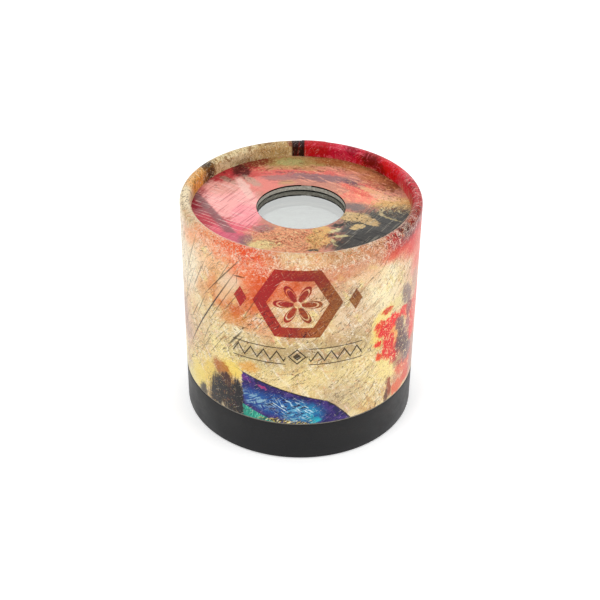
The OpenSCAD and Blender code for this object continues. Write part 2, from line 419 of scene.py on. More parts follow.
def paint_top_speckle(p):
    """Maroon and cream speckle below the rim, growing into red on the right."""
    p.dabs((
        (10, 77, 16, 3.5, "#d98e6c", 0.55),
        (28, 75, 9, 3.5, "#cf8a70", 0.5),
        (60, 77, 13, 4.5, "#d42e38", 0.95),
        (48, 74, 5, 3, "#dc5a50", 0.8),
        (66, 72, 9, 5, "#de4a4a", 0.85),
        (75, 66, 6, 9, "#e8786c", 0.8),
        (80, 76, 6, 6, "#e2605c", 0.8),
    ), soft=0.6, broken=1.0)
    for degrees, height, width, tall, colour in (
        (34, 76.5, 14, 2.6, "#7d3a34"),
        (12, 77.5, 14, 2.2, "#9a5f48"),
        (60, 77, 9, 4, "#5d1f28"),
        (52, 79, 5, 2, "#4a1c22"),
        (72, 72, 5, 4, "#8b4a48"),
    ):
        zone = p.spot(on_wrap(degrees, height), (width, tall), soft=0.6)
        p.fleck(zone, p.speck, 0.52, 0.62, colour)
    zone = p.spot(on_wrap(2, 77), (13, 3.5), soft=0.6)
    p.fleck(zone, p.blots(1.7, 0.7, 0.6, 2), 0.54, 0.6, "#fbf2d0")


def paint_flames(p):
    """Coral-red shapes with grey smoke and yellow fringes on the right of the wall."""
    brush = p.streak(70, 0.8, 3.0)
    p.dabs((
        (43, 52, 5, 2.4, "#f6e29a", 1, 20),
        (39, 45, 2.6, 5, "#f3dc8c"),
        (50, 29, 6, 4.5, "#f7e6a4", 1, 30),
        (55, 54, 4, 2.4, "#eadca8"),
        (43, 34, 3, 4, "#f4e2a0"),
        (52, 40, 5, 7, "#f0b478"),
    ), soft=0.4, broken=1.6, marks=brush)
    p.dabs((
        (44, 46, 4.2, 3.4, "#e8504a", 1, 10),
        (41, 49, 2.6, 1.4, "#e8604c", 1, 20),
        (51, 47.5, 4.4, 2.6, "#f2504c", 1, -10),
        (46.5, 39, 3.4, 5.6, "#e6524a", 1, 8),
        (53, 33.5, 3.2, 4.6, "#e2524e", 1, -12),
        (45.5, 53, 2.4, 1.2, "#d9603e"),
        (38.5, 42, 1.6, 1.2, "#ea5a48"),
        (40, 36, 1.4, 1.6, "#e8684c", 1, 30),
        (59, 48.5, 3.2, 2, "#ea5652"),
        (69, 43, 5, 6, "#e45650"),
        (71, 35.5, 4.4, 4.4, "#ea5e58"),
        (64, 47, 3.2, 2.8, "#ef5c54"),
        (77, 44, 3.6, 9, "#ea7e76"),
        (60, 25, 4.6, 3, "#e27a64", 1, -20),
        (57, 17.5, 4, 2.6, "#e0785c"),
        (70, 24, 4.4, 5.4, "#e27868"),
        (66, 19, 3.6, 2.4, "#d9604e"),
    ), soft=0.22, broken=1.5, marks=brush)
    p.dabs((
        (61, 54, 2.8, 4.6, "#7a666a", 0.85, 35),
        (56.5, 43, 2.6, 4.4, "#70545a", 0.9, 20),
        (57.5, 37, 3, 4.6, "#5a4046", 0.95, -15),
        (62, 33, 3.8, 4.6, "#4f3c44", 0.95, 30),
        (66, 29, 4.6, 3.2, "#6d5a64", 0.85, 30),
        (63.5, 40, 2.2, 4, "#8f6a70", 0.7),
        (56, 29, 3.2, 3, "#94655c", 0.7),
        (49, 20.5, 1.3, 3.8, "#94402c", 0.9, 10),
        (47, 17, 1.1, 2.8, "#5a3026", 0.9, -10),
        (72, 55, 3, 5, "#b58c84", 0.6, 20),
        (65, 47.5, 2.4, 3.6, "#7c5358", 0.8, 10),
        (76, 24, 4.4, 7, "#a88a86", 0.75),
    ), soft=0.3, broken=1.5, marks=brush)
    zone = p.spot(on_wrap(60, 40), (17, 19), soft=0.4)
    p.fleck(zone, p.blots(0.8, 0.75, 1.0, 3), 0.56, 0.62, "#f6e2b4", 0.85)
    p.fleck(zone, p.blots(0.9, 0.75, 2.0, 3), 0.57, 0.63, "#8a2c30", 0.85)


def paint_wedge(p):
    """The blue and indigo wedge low on the wall, with a black brushed patch on its left."""
    upright = p.streak(84, 1.5, 7.0)
    p.dabs((
        (-58, 21, 5, 5, "#ecd57c", 0.9),
        (-47, 26, 4, 5.5, "#eed27c", 0.8),
        (-66, 17, 4, 3, "#ead98a", 0.7),
        (-34, 33, 4.5, 3.4, "#f4d87c", 0.9),
        (-24, 36, 3.4, 2, "#e6a860", 0.7),
        (-40, 31.5, 3.6, 2.6, "#a8582f", 0.8),
        (-36, 27, 4, 3, "#c08a4c", 0.7),
    ), soft=0.4, broken=2.0, marks=p.blots(0.7, 0.8))
    p.dabs((
        (-54, 16.5, 2.4, 3.2, "#4d4538"),
        (-40, 22, 5.4, 6.6, "#232430"),
        (-43, 18, 4, 4, "#27242a"),
        (-33, 20, 3.8, 8, "#23252f"),
        (-37, 28, 2.4, 2.4, "#4a3430"),
    ), soft=0.3, broken=1.3, marks=upright)
    patch = p.spot(on_wrap(-39, 21), (9, 9), 0, 0.3)
    for scale, distortion, edge, colour in (
        (0.8, 1, 0.56, "#6e4a34"),
        (0.9, 2, 0.6, "#d9b878"),
        (0.8, 1.5, 0.61, "#5c4a6c"),
    ):
        p.fleck(patch, p.blots(scale, 0.8, distortion), edge, edge + 0.05, colour, 0.8)
    peak, shoulder = on_wrap(-27.5, 33.2), on_wrap(13, 24.2)
    elbow, toe = on_wrap(18.5, 21), on_wrap(26.5, 14.2)
    wedge = p.both(
        p.side(on_wrap(-29.5, 14), peak, 0.5, "rough"),
        p.side(peak, shoulder, 0.15),
        p.side(shoulder, elbow, 0.3),
        p.side(elbow, toe, 0.3),
    )
    clouds = p.blots(0.35, 0.6, 1.0, 3)
    p.lay(wedge, p.ramp(clouds, (0.35, "#262250"), (0.55, "#453a74"), (0.7, "#5c4c86")))
    hatch = p.span(p.streak(25, 1.2, 6.0), 0.46, 0.58)
    cross = p.span(p.streak(-62, 1.4, 7.0), 0.5, 0.6)
    gaps = p.span(p.streak(18, 1.3, 5.0), 0.52, 0.6)
    glints = p.span(p.streak(-35, 1.6, 6.0), 0.57, 0.64)
    for degrees, height, width, tall, turn, colour, scratches in (
        (-14, 22.5, 10, 4.2, -14, "#2f5d9c", None),
        (2, 20, 6.5, 4.2, -10, "#2c74a8", None),
        (-20, 23, 6, 2.6, -10, "#8fb3cc", hatch),
        (-6, 21, 8, 3.4, -14, "#a9cbe0", cross),
        (0, 19, 5, 3.6, 20, "#7cc0dc", hatch),
        (5.5, 18.5, 3.2, 3.6, 30, "#2b8db0", cross),
        (7, 16.5, 2.4, 2.2, 0, "#3fb2c4", hatch),
        (-10, 20, 9, 2.6, -14, "#1f3f86", cross),
        (-5, 21.5, 9, 4, -14, "#14204c", gaps),
        (-4, 21.5, 8, 3.6, -14, "#d4ecf2", glints),
        (-22, 30, 2.6, 0.7, -14, "#8b3a78", cross),
        (-17, 28.9, 1.6, 0.6, -14, "#a34c7e", None),
        (-26, 31.2, 1.6, 1, -20, "#6a3c86", None),
    ):
        spot = p.spot(on_wrap(degrees, height), (width, tall), turn, 0.4, "rough", 0.6)
        p.lay(p.both(spot, wedge, scratches) if scratches else p.both(spot, wedge), colour)
    teal = p.both(wedge, p.side(on_wrap(-30, 20.6), on_wrap(-10, 15.2), 0.2))
    tones = ((0.4, "#27776e"), (0.55, "#46ad97"), (0.66, "#7fd3b6"))
    p.lay(teal, p.ramp(p.streak(80, 2.4, 6.0), *tones))
    foot = p.both(wedge, p.spot(on_wrap(-6, 15.2), (9, 1.6), 0, 0.3))
    p.fleck(foot, p.streak(15, 1.1, 2.5), 0.47, 0.53, "#2a2a2c")
    p.fleck(foot, p.streak(30, 1.3, 2.5), 0.52, 0.58, "#d3bd66")
    p.fleck(foot, p.streak(50, 1.5, 2.5), 0.56, 0.62, "#f4efd2")
    p.dab(-29.5, 21, 1.5, 8.5, "#28242f", 1.0, 6, soft=0.3, broken=1.6, marks=upright)
    for start, end in ((peak, shoulder), (shoulder, elbow), (elbow, toe)):
        p.line(start, end, 0.55, "#2a2036")


def paint_strokes(p):
    """Long thin pen strokes that rise to the right across the left of the wall."""
    for start, end, width, part in (
        ((-66, 31), (-31, 70), 0.55, 0.85),
        ((-60, 38), (-37, 63), 0.4, 0.8),
        ((-31.5, 69.5), (-25.5, 69.8), 0.6, 0.8),
        ((-50, 57), (-24, 79), 0.45, 0.8),
        ((-46, 49), (-31, 66), 0.4, 0.7),
        ((-76, 41), (-58, 64), 0.4, 0.6),
        ((-67, 60), (-55, 78), 0.45, 0.6),
        ((-70, 72), (-62, 60), 0.4, 0.5),
        ((-57, 47), (-50, 56), 0.5, 0.6),
        ((-35, 42), (-27.5, 49), 0.9, 0.8),
        ((-33, 41.5), (-26.5, 47.5), 0.5, 0.7),
        ((-41, 46), (-36, 51), 0.4, 0.6),
        ((-37, 55), (-29, 63), 0.4, 0.6),
        ((-27, 54), (-19, 64), 0.5, 0.5),
        ((-56, 31), (-44, 44), 0.35, 0.5),
        ((-30, 66), (-29, 72), 0.3, 0.6),
        ((-70, 48), (-65, 66), 0.4, 0.7),
        ((-74, 60), (-69, 75), 0.35, 0.6),
        ((-64, 42), (-55, 52), 0.4, 0.7),
        ((-53, 37), (-46, 47), 0.35, 0.6),
        ((-46, 36), (-38, 44), 0.35, 0.6),
        ((-60, 56), (-49, 70), 0.35, 0.7),
        ((-43, 62), (-33, 74), 0.35, 0.6),
        ((-22, 50), (-14, 58), 0.4, 0.5),
        ((36, 66), (46, 76), 0.35, 0.5),
        ((-80, 30), (-66, 45), 0.5, 0.45),
    ):
        p.line(on_wrap(*start), on_wrap(*end), 0.85 * width, "#2e1c15", part)


def paint_rim(p):
    """The paper over the rim, all the way round, and down inside it."""
    ribs = p.streak(90, 1.5, 8.0)
    p.dabs((
        (-85, 84, 22, 6, "#f8e8c6", 0.95),
        (-62, 84, 6, 4, "#e2b890", 0.5),
        (-108, 84, 8, 7, "#f4ab5c", 0.9),
        (-104, 79, 4, 4, "#f4c890", 0.6),
        (-150, 82, 22, 9, "#e2cb9e", 0.9),
        (-140, 84, 9, 4, "#f0e2ba", 0.7),
        (-165, 84, 7, 5, "#b08a58", 0.5),
        # Painted highlight: pale pink on the rim at 118 degrees, over the crimson print.
        (118, 83, 6, 6, "#ee9aa0", 0.85),
        (105, 81, 6, 8, "#dc5060", 0.95),
        (93, 80, 6, 8, "#cc4450", 0.95),
        (124, 84, 8, 7, "#e23a4e", 0.95),
        (145, 82, 11, 8, "#cf3048", 0.95),
        (160, 82, 9, 7, "#dd5668", 0.95),
        (172, 82, 7, 9, "#c42c46", 0.95),
        (82, 80, 5, 6, "#b84048", 0.9),
        (-66, 80, 6, 3, "#dcc098", 0.8),
        (-46, 80, 8, 4, "#f4a782", 0.9),
        (-34, 80, 6, 4, "#f08466", 0.9),
        (-22, 80, 7, 4, "#e96347", 0.9),
        (-12, 80, 5, 4, "#dc8060", 0.9),
        (0, 80, 7, 4, "#e6c498", 0.9),
        (10, 80, 5, 4, "#e4b88c", 0.9),
        (22, 80, 8, 4, "#c29670", 0.9),
        (36, 80, 7, 4, "#c88c6a", 0.9),
        (50, 79, 5, 4, "#b23434", 0.95),
        (60, 79, 6, 4, "#741f22", 0.95),
        (71, 79, 5, 4, "#96342f", 0.95),
        # Painted shade: mauve grey on the inner lip of the rim at the front right.
        (60, 84.5, 9, 2, "#94706a", 0.85),
    ), soft=0.45, broken=0.8, marks=ribs)
    p.dabs((
        (-121, 83, 3.2, 5, "#3c2f2b", 0.95),
        (-116, 86, 2, 2, "#6b3d24", 0.8),
        (-146, 86, 4, 1.6, "#7d5433", 0.6),
        (139, 84, 5, 3, "#6f2030", 0.85),
        (152, 80, 3, 4, "#7d2838", 0.6),
        (131, 86, 3, 2, "#8b1c2a", 0.7),
        # Painted shade: grey on the inner lip of the rim at the front right.
        (70, 85, 6, 1.6, "#95908e", 0.9),
        (57, 80, 3, 2.6, "#5a2024", 0.85),
    ), soft=0.4, broken=1.0)
    front = p.spot(on_wrap(-2, 81), (50, 8), soft=0.25)
    for scale, distortion, low, high, colour in (
        (0.3, 1, 0.52, 0.64, "#ec9a74"),
        (0.5, 1.5, 0.56, 0.64, "#f8ead0"),
        (0.7, 1, 0.55, 0.62, "#b0503a"),
        (1, 1.5, 0.58, 0.64, "#fbf1dc"),
        (0.9, 1, 0.58, 0.64, "#6f3a30"),
    ):
        p.fleck(front, p.blots(scale, 0.75, distortion), low, high, colour, 0.6)
    for turn, level in ((25, 0.5), (80, 0.48), (130, 0.52)):
        p.lay(p.both(front, p.contour(p.streak(turn, 0.35, 3), level, 0.008, 0.6)), "#fdf4e0")
    # Painted highlight: a thin cream line along the front of the rim's crest.
    p.dab(-8, 82, 46, 0.45, "#fdf1d8", 0.8, soft=0.5, edge="clean", broken=0.6)
    ember = p.spot(on_wrap(70, 81), (28, 6), soft=0.3)
    p.fleck(ember, p.blots(0.8, detail=3), 0.54, 0.6, "#4a171b", 0.85)
    p.lay(p.both(ember, p.contour(p.streak(100, 0.35, 3), 0.5, 0.01, 0.75)), "#f6dcd2")
    berry = p.spot(on_wrap(142, 82), (26, 10), soft=0.3)
    p.fleck(berry, p.blots(0.5), 0.54, 0.62, "#f0808c", 0.7)
    p.fleck(berry, p.blots(0.7, 0.75, 1.5), 0.56, 0.64, "#8c1c30", 0.7)
    straw = p.spot(on_wrap(-140, 82), (29, 9), soft=0.3)
    p.fleck(straw, p.blots(0.5), 0.54, 0.62, "#b98a55", 0.6)
    p.fleck(straw, p.blots(0.7, 0.75, 1.5), 0.54, 0.62, "#fbf0d0", 0.7)
    p.lay(p.both(straw, p.contour(p.blots(0.4), 0.5, 0.014, 0.85)), "#3f2c1f")
    p.fleck(straw, p.blots(0.3, 0.7, 1.0, 3), 0.56, 0.64, "#7d5632", 0.7)
    rib_zone = p.spot(on_wrap(-150, 82), (21, 8), 0, 0.4, "clean")
    p.fleck(rib_zone, ribs, 0.55, 0.64, "#8c6438", 0.5)
    web_zone = p.spot(on_wrap(-85, 82), (20, 6), 0, 0.4, "soft")
    p.lay(p.both(web_zone, p.contour(p.noise(p.at, 0.25, 2), 0.5, 0.012, 0.85)), "#4b3426")
    p.lay(p.both(web_zone, p.contour(p.streak(60, 0.4, 3), 0.52, 0.013, 0.75)), "#5b412e")


def paint_back(p):
    """The back of the wall, where the same colours come round to the seam."""
    upright = p.streak(84, 1.5, 7.0)
    p.dabs((
        (130, 64, 22, 13, "#d2394c", 0.95),
        (150, 52, 12, 9, "#b52c40", 0.8, 20),
        (112, 56, 7, 12, "#ee8c84", 0.8, -15),
        (122, 42, 12, 6, "#f0b79a", 0.8, 10),
        (100, 34, 9, 10, "#e9b49c", 0.7),
        (146, 32, 13, 7, "#ecd59a", 0.9),
        (-150, 62, 20, 12, "#d9c497", 0.9),
        (-160, 44, 11, 8, "#c79a63", 0.7, 15),
        (-118, 66, 7, 11, "#eb9a52", 0.85, 5),
        (-130, 40, 13, 9, "#f0dfae", 0.9, -12),
        (-104, 46, 7, 9, "#efc79a", 0.7),
        (-98, 24, 9, 6, "#ecd27e", 0.8),
    ), soft=0.45, broken=1.0, marks=upright)
    p.dabs((
        (-121, 70, 3, 9, "#3c2f2b", 0.85, 8),
        (-112, 58, 2, 5, "#5b3622", 0.7, -10),
        (138, 68, 4, 7, "#6f2030", 0.8, -15),
        (120, 50, 2.6, 5, "#71404a", 0.7, 20),
        (158, 60, 3.4, 7, "#541c28", 0.6),
        (-145, 22, 9, 6, "#2b2b33", 0.95, -8),
        (-158, 20, 6, 4, "#3a2d2a", 0.9, 10),
        (102, 22, 6, 4, "#8b3a34", 0.6),
    ), soft=0.3, broken=1.3, marks=upright)
    crest, slope, foot = on_wrap(-137, 36), on_wrap(-110, 26), on_wrap(-99, 14)
    edge = p.side(on_wrap(-141, 14), crest, 0.5, "rough")
    sail = p.both(edge, p.side(crest, slope, 0.2), p.side(slope, foot, 0.3))
    clouds = p.blots(0.35, 0.6, 1.0, 3)
    p.lay(sail, p.ramp(clouds, (0.35, "#1f5c66"), (0.55, "#2f8f8a"), (0.7, "#5fb8a2")))
    p.lay(p.both(sail, p.spot(on_wrap(-128, 20), (9, 6), -15, 0.4, broken=0.8)), "#2d3f7c")
    p.fleck(sail, p.streak(25, 1.8, 6.0), 0.5, 0.62, "#a9dcd8", 0.7)
    for start, end in ((crest, slope), (slope, foot)):
        p.line(start, end, 0.55, "#232a3a")
    for start, end, width in (
        ((95, 40), (118, 72), 0.5),
        ((104, 36), (122, 60), 0.4),
        ((-170, 30), (-146, 58), 0.5),
        ((-176, 44), (-158, 66), 0.4),
        ((-108, 34), (-92, 56), 0.5),
        ((128, 24), (150, 46), 0.4),
    ):
        p.line(on_wrap(*start), on_wrap(*end), width, "#3f2720", 0.8)


def paint_seam(p):
    """The dark strip that runs along the seam, on both of its sides."""
    p.lay(p.side(on_wrap(-174.5, 90), on_wrap(-174.5, 10), 0.4), "#3d1c20")
    p.lay(p.side(on_wrap(178.5, 10), on_wrap(178.5, 90), 0.3), "#3d1c20")
    strip = p.spot(on_wrap(-177, 46), (5, 60), soft=0.1)
    p.fleck(strip, p.streak(90, 0.8, 4), 0.52, 0.62, "#7e3038", 0.7)


def paint_emblem(p):
    """A plain ornament: a rosette in a hexagon, lozenges, and a zigzag between two rules."""
    crisp = 0.12
    at = p.vector("SUBTRACT", p.at, (*on_wrap(-1, 62.5), 0))
    x, y = p.dot(at, (1, 0, 0)), p.dot(at, (0, 1, 0))
    radius = p.length(at)
    facing = [math.radians(degrees) for degrees in (30, 90, 150)]
    walls = [p.math("ABSOLUTE", p.dot(at, (math.cos(a), math.sin(a), 0))) for a in facing]
    hexagon = p.math("MAXIMUM", p.math("MAXIMUM", walls[0], walls[1]), walls[2])
    outside, within, reach, eye, vein, core = 12.6, 8.7, 7.9, 1.2, 1.1, 1.9
    border = p.both(p.span(hexagon, outside, outside - crisp), p.span(hexagon, within - crisp, within))
    lobes = p.math("ABSOLUTE", p.math("COSINE", p.math("MULTIPLY", p.math("ARCTAN2", y, x), 3)))
    petal = p.math("SUBTRACT", p.math("MULTIPLY", lobes, reach), radius)
    petals = p.both(p.span(petal, 0, crisp), p.span(radius, eye, eye + crisp))
    veins = p.both(p.span(petal, vein, vein + crisp), p.span(petal, core, core - crisp))
    petals = p.both(petals, p.math("SUBTRACT", 1.0, veins))
    flank = p.vector("ABSOLUTE", p.vector("SUBTRACT", p.vector("ABSOLUTE", at), (18.8, 0, 0)))
    lozenge = p.dot(flank, (1, 0.6, 0))
    lozenges = p.span(lozenge, 2.4, 2.4 - crisp)
    ink = p.math("MAXIMUM", p.math("MAXIMUM", border, petals), lozenges)
    left, right = ((0.0, "#c04840"), (0.45, "#b0503f")), ((0.75, "#a8684c"), (1.0, "#a3755a"))
    tint = p.ramp(p.span(x, -16, 16), *left, *right)
    p.lay(p.both(ink, p.span(p.grain, 0.35, 0.8, 1.0, 0.8)), tint, "MULTIPLY")
    rule = p.vector("SUBTRACT", p.at, (*on_wrap(-1, 42.5), 0))
    along, across = p.dot(p.vector("ABSOLUTE", rule), (1, 0, 0)), p.dot(rule, (0, 1, 0))
    apart = p.math("ABSOLUTE", across)
    inside = p.both(p.span(along, 22, 21.8), p.span(along, 3.6, 3.8))
    rules = p.both(p.span(apart, 3.3, 3.2), p.span(apart, 2.85, 2.95))
    zigzag = p.math("SUBTRACT", p.math("PINGPONG", along, 2.2), 1.1)
    zigzag = p.math("ABSOLUTE", p.math("SUBTRACT", p.math("MULTIPLY", zigzag, 1.6), across))
    lines = p.both(inside, p.math("MAXIMUM", rules, p.span(zigzag, 0.5, 0.35)))
    diamond = p.math("ADD", along, apart)
    outline = p.both(p.span(diamond, 3.1, 3.0), p.span(diamond, 2.4, 2.5))
    gem = p.math("MAXIMUM", p.span(diamond, 1.5, 1.4), outline)
    p.lay(p.both(p.math("MAXIMUM", lines, gem), 0.9), "#2c2320")


def age_print(p):
    """Scratches, hairlines and grain over the whole picture."""
    p.wear(p.streak(38, 3.0, 12.0), 0.6, 0.72, "#fdf5e2", 0.45)
    p.wear(p.streak(118, 3.4, 14.0), 0.62, 0.72, "#fbeed4", 0.4)
    p.wear(p.streak(52, 3.8, 16.0), 0.62, 0.74, "#6e5140", 0.35)
    p.wear(p.speck, 0.6, 0.72, "#7a5a44", 0.3)
    mottle = p.span(p.grain, 0.3, 0.72)
    tones = p.ramp(mottle, (0.0, "#dcdad6"), (0.5, "#f6f4f2"), (1.0, "#ffffff"))
    p.lay(1.0, tones, "MULTIPLY")


def finish_print(p, roughness=0.36, gloss=0.2, vividness=1.08):
    """Satin laminate over the ink."""
    p.canvas = p.put("HueSaturation", {"Saturation": vividness, "Color": p.canvas}).outputs[0]
    p.canvas = p.put("BrightContrast", {"Color": p.canvas, "Contrast": 0.05}).outputs[0]
    sheen = {"specular_ior_level": gloss, "coat_weight": gloss, "coat_roughness": 0.35}
    smears, relief = p.blots(0.4, 0.6, 0.0, 3), (p.blots(3.0, 0.6, 0.0), 0.02, 0.35)
    return p.worn(p.canvas, smears, roughness - 0.04, roughness + 0.07, relief, **sheen)


def printed_paper():
    p = Print("printed_paper", "#efd9b4", on_wrap)
    for painter in (
        paint_ground, paint_back, brush_over, paint_corals, paint_top_speckle, paint_flames,
        paint_wedge, paint_strokes, paint_rim, paint_seam, paint_emblem, age_print,
    ):
        p.layer(painter)
    return finish_print(p)


def paint_disc_fields(p):
    """The large fields of the top disc: crimson left, olive back, coral right, slate front."""
    weave = p.streak(62, 0.8, 4.0)
    p.dabs((
        (-30, -3, 9, 16, "#c8404e", 1, 12),
        (-34, 4, 4, 8, "#8c1c2c", 0.9),
        (-22, -18, 11, 8, "#e85f72", 1, 20),
        (-23, 4, 9, 14, "#ffb0aa", 1, 24),
        (-18, -6, 5, 7, "#ff9aa0"),
        (-26, 13, 6, 5, "#e8a090", 0.9, 30),
        (-27, 23, 7, 7, "#b42a30", 1, 40),
        (-16, 24, 5, 6, "#d0403c", 0.9, 10),
        (-13, 15, 6, 6, "#ee8478", 0.9),
        (0, 24, 16, 3.6, "#e0625a"),
        (-2, 32, 15, 4.8, "#a98a50", 1, -2),
        (-4, 32, 5, 3, "#a8a468", 0.8, -4),
        (16, 31, 13, 4, "#a06030", 0.95, -22),
        (-17, 31, 7, 4, "#7a2a22", 0.9, 25),
        (29, 19, 7, 9, "#8a4a2c", 0.95, 30),
        (22, 23, 9, 3, "#c27246", 0.8, -45),
        (19, 14, 8, 4, "#ea6654", 1, -40),
        (22, 6, 8, 4, "#ff8a70", 1, -15),
        (8, 20, 13, 2.6, "#9c7678", 0.95, -12),
        (-7, 20, 7, 2, "#b07c7a", 0.8, 4),
        (18, 16, 5, 1.6, "#7c6066", 0.8, -40),
        (31, 2, 7, 5, "#e0b068"),
        (-4, -21, 14, 9, "#e89a6c"),
        (-13, -25, 6, 3, "#e8d08c", 0.9),
        (27, -12, 17, 11, "#5f5e5c", 1, 25),
        (18, -22, 10, 5, "#555452", 1, 25),
        (18, 0, 4, 2.4, "#857a78", 0.9, -20),
    ), soft=0.3, broken=1.0, marks=weave)


def paint_disc_shapes(p):
    """Bands, facets, leaves and speckle over the fields."""
    hatch = p.streak(-32, 1.3, 14.0)
    cross = p.streak(58, 1.3, 16.0)
    stripe = p.both(p.side((-37, 13), (-22, -15), 0.5), p.side((-25.5, -15), (-40, 13), 0.9))
    p.lay(p.both(stripe, 0.8), "#86686a")
    corner = (-18, -18.3)
    wedge = p.both(p.side((-27, -17), corner, 0.2), p.side(corner, (-19.5, -25.5), 0.2))
    p.lay(p.both(wedge, p.side((-21, -26), (-28, -16), 0.2), 0.8), "#dd5a78")
    p.dabs((
        (-21, 25, 3, 5, "#4a2a2c", 0.9, 20),
        (-25, 18, 3.6, 1.4, "#8f8a72", 0.6, -50),
        (-17, 17, 5, 1.4, "#b7b09a", 0.55, -55),
        (-19, 12, 1.6, 7.5, "#f7cdbf", 0.7, 20),
        (-12, -14.5, 3.4, 2.4, "#9c7278", 0.8, 20),
        (-17.5, -22, 2.4, 3.4, "#9a6a74", 0.8, -20),
        (-33, -4, 3, 2.2, "#a4656a", 0.6, 10),
        (0, 27, 12, 1.6, "#c8905c", 0.8),
        (12, 26, 9, 1.4, "#d8806a", 0.8, -20),
        (24, 11, 6, 1.3, "#edb080", 0.9, -38),
        (25, 16, 5, 1.2, "#c96a50", 0.8, -42),
        (27, 7, 6, 1.4, "#f4b896", 0.8, -20),
        (20, 9, 4, 1.2, "#e8604c", 0.9, -30),
        (16, 6.5, 3, 1.4, "#ea7a66", 0.8, -30),
        (-5, 16.5, 3, 1.4, "#d3a070", 0.8, 15),
    ), soft=0.35, broken=0.8, marks=cross)
    p.dabs((
        (17.5, -7, 5.4, 2.8, "#d6b27a", 1, -12),
        (22.5, -10, 3.4, 2, "#cba976", 1, -35),
        (18.5, -13, 2.6, 1.4, "#d8b87e", 1, 25),
        (14, -4.8, 2.8, 1.4, "#dcbc8a", 1, 10),
        (6.8, -16, 3.2, 3, "#e6b46a", 1, 30),
        (5.4, -21, 3.6, 4.2, "#e2ad62", 1, 20),
        (4, -26.5, 2.6, 2.2, "#d99f5c"),
        (11, -15.5, 3, 0.8, "#d9cf9c", 1, 35),
        (12.5, -19, 3, 0.7, "#d3c58c", 1, 10),
        (10.5, -23, 0.7, 2.6, "#cfc08a", 1, 20),
        (29, -7, 4.5, 0.6, "#b5a67c", 1, -30),
        (26, -4, 0.6, 2.4, "#bda982", 1, 15),
    ), soft=0.2, broken=0.9, marks=hatch)
    p.dabs((
        (12, -12, 2.6, 1, "#4e4d4c", 1, 20),
        (9.6, -18.6, 1.6, 1, "#4e4d4c", 1, 10),
        (3.6, -27.6, 2.2, 0.8, "#4e4d4c"),
        (13, -24, 2.4, 1.4, "#4e4d4c"),
    ), soft=0.25, broken=1.0)
    front, olive, sand = ((-3, -20), (14, 9)), ((0, 30), (24, 7)), ((30, 2), (8, 7))
    leaf, rust = ((18, -8), (7, 5), -15), ((28, 18), (8, 12), 30)
    maroon, coral = ((-26, 22), (10, 10), 30), ((20, 10), (11, 8), -30)
    for zone, scale, distortion, edge, colour, part in (
        (front, 0.7, 1, 0.53, "#c8502f", 0.9),
        (front, 0.8, 2, 0.55, "#fbe0a4", 0.9),
        (front, 1.1, 1, 0.55, "#5f3a2c", 0.9),
        (sand, 0.7, 1, 0.54, "#8a5a30", 0.9),
        (sand, 0.8, 2, 0.54, "#ffeeb0", 0.9),
        (leaf, 0.8, 1, 0.53, "#4c4436", 0.9),
        (leaf, 0.9, 2, 0.57, "#f3e0ac", 0.9),
        (olive, 0.5, 1, 0.54, "#7a3c22", 0.7),
        (olive, 0.6, 2, 0.55, "#dcb87a", 0.7),
        (rust, 0.6, 1, 0.54, "#d9985c", 0.7),
        (rust, 0.7, 2, 0.56, "#5c2a1c", 0.8),
        (maroon, 0.6, 1, 0.55, "#4c1c1c", 0.7),
        (maroon, 0.7, 2, 0.57, "#e0685c", 0.7),
        (coral, 0.6, 1.5, 0.55, "#ffc890", 0.7),
        (coral, 0.8, 1.5, 0.57, "#d9402c", 0.7),
    ):
        marks = p.blots(scale, 0.75, distortion)
        p.fleck(p.spot(*zone, soft=0.4), marks, edge, edge + 0.07, colour, part)
    lace = p.contour(p.blots(0.45, 0.7, 1.0, 3), 0.5, 0.022, 0.75)
    p.lay(p.both(p.spot((-1, -22), (15, 7), 0, 0.4), lace), "#53301f")
    pink, slate = ((-24, -2), (13, 20), 15), ((25, -14), (17, 11), 25)
    glow, smoke = ((16, 16), (20, 12), -30), ((2, 21), (20, 6))
    for zone, lines, low, colour, part in (
        (pink, hatch, 0.54, "#ffd8d0", 0.45),
        (pink, cross, 0.54, "#a83048", 0.45),
        (slate, cross, 0.55, "#a09b8c", 0.6),
        (slate, hatch, 0.57, "#2f2f30", 0.7),
        (glow, p.streak(-35, 0.8, 6), 0.55, "#ffab8c", 0.6),
        (smoke, p.streak(-5, 0.8, 6), 0.56, "#7c4a50", 0.6),
    ):
        p.fleck(p.spot(*zone, soft=0.4), lines, low, low + 0.08, colour, part)


def age_disc(p):
    """Hairlines and grain over the disc's picture, and a thin dark ring along the edge of its hole."""
    p.wear(p.streak(20, 3.0, 12.0), 0.62, 0.74, "#fbeedc", 0.3)
    p.wear(p.streak(110, 3.4, 12.0), 0.62, 0.74, "#5f4a44", 0.25)
    mottle = p.span(p.grain, 0.3, 0.72)
    p.lay(1.0, p.ramp(mottle, (0.0, "#ebe9e8"), (0.6, "#ffffff")), "MULTIPLY")
    # A thin near-black ring along the edge of the hole, over its rounded edge and lip.
    p.lay(p.span(p.length(p.at), HOLE_R / MM + 0.12, HOLE_R / MM + 0.04), "#1b1a1a")


def printed_disc_paper():
    p = Print("printed_disc_paper", "#cf8a76")
    for painter in (paint_disc_fields, paint_disc_shapes, age_disc):
        p.layer(painter)
    return finish_print(p, 0.4, 0.05, 0.92)


# ---- Plain materials ----


def black_paper():
    """Satin black covering paper, with fine fibres and faint handling marks."""
    g = Graph("black_paper")
    at = g.position()
    fibres = g.noise(at, 2.4, 4, 0.7)
    marks = g.noise(g.local(at, (0, 0), 12, (9, 1)), 0.9, 3, 0.7)
    tone = g.mix(g.span(fibres, 0.35, 0.7), srgb("#0b0b0d"), srgb("#161618"))
    tone = g.mix(g.span(marks, 0.62, 0.75, 0.0, 0.3), tone, srgb("#2c2c30"))
    cloud = g.both(g.noise(at, 0.12, 3, 0.5), 0.6)
    wear = g.math("MULTIPLY_ADD", marks, 0.4, cloud)
    return g.worn(tone, wear, 0.36, 0.5, (fibres, 0.015, 0.4), specular_ior_level=0.25)


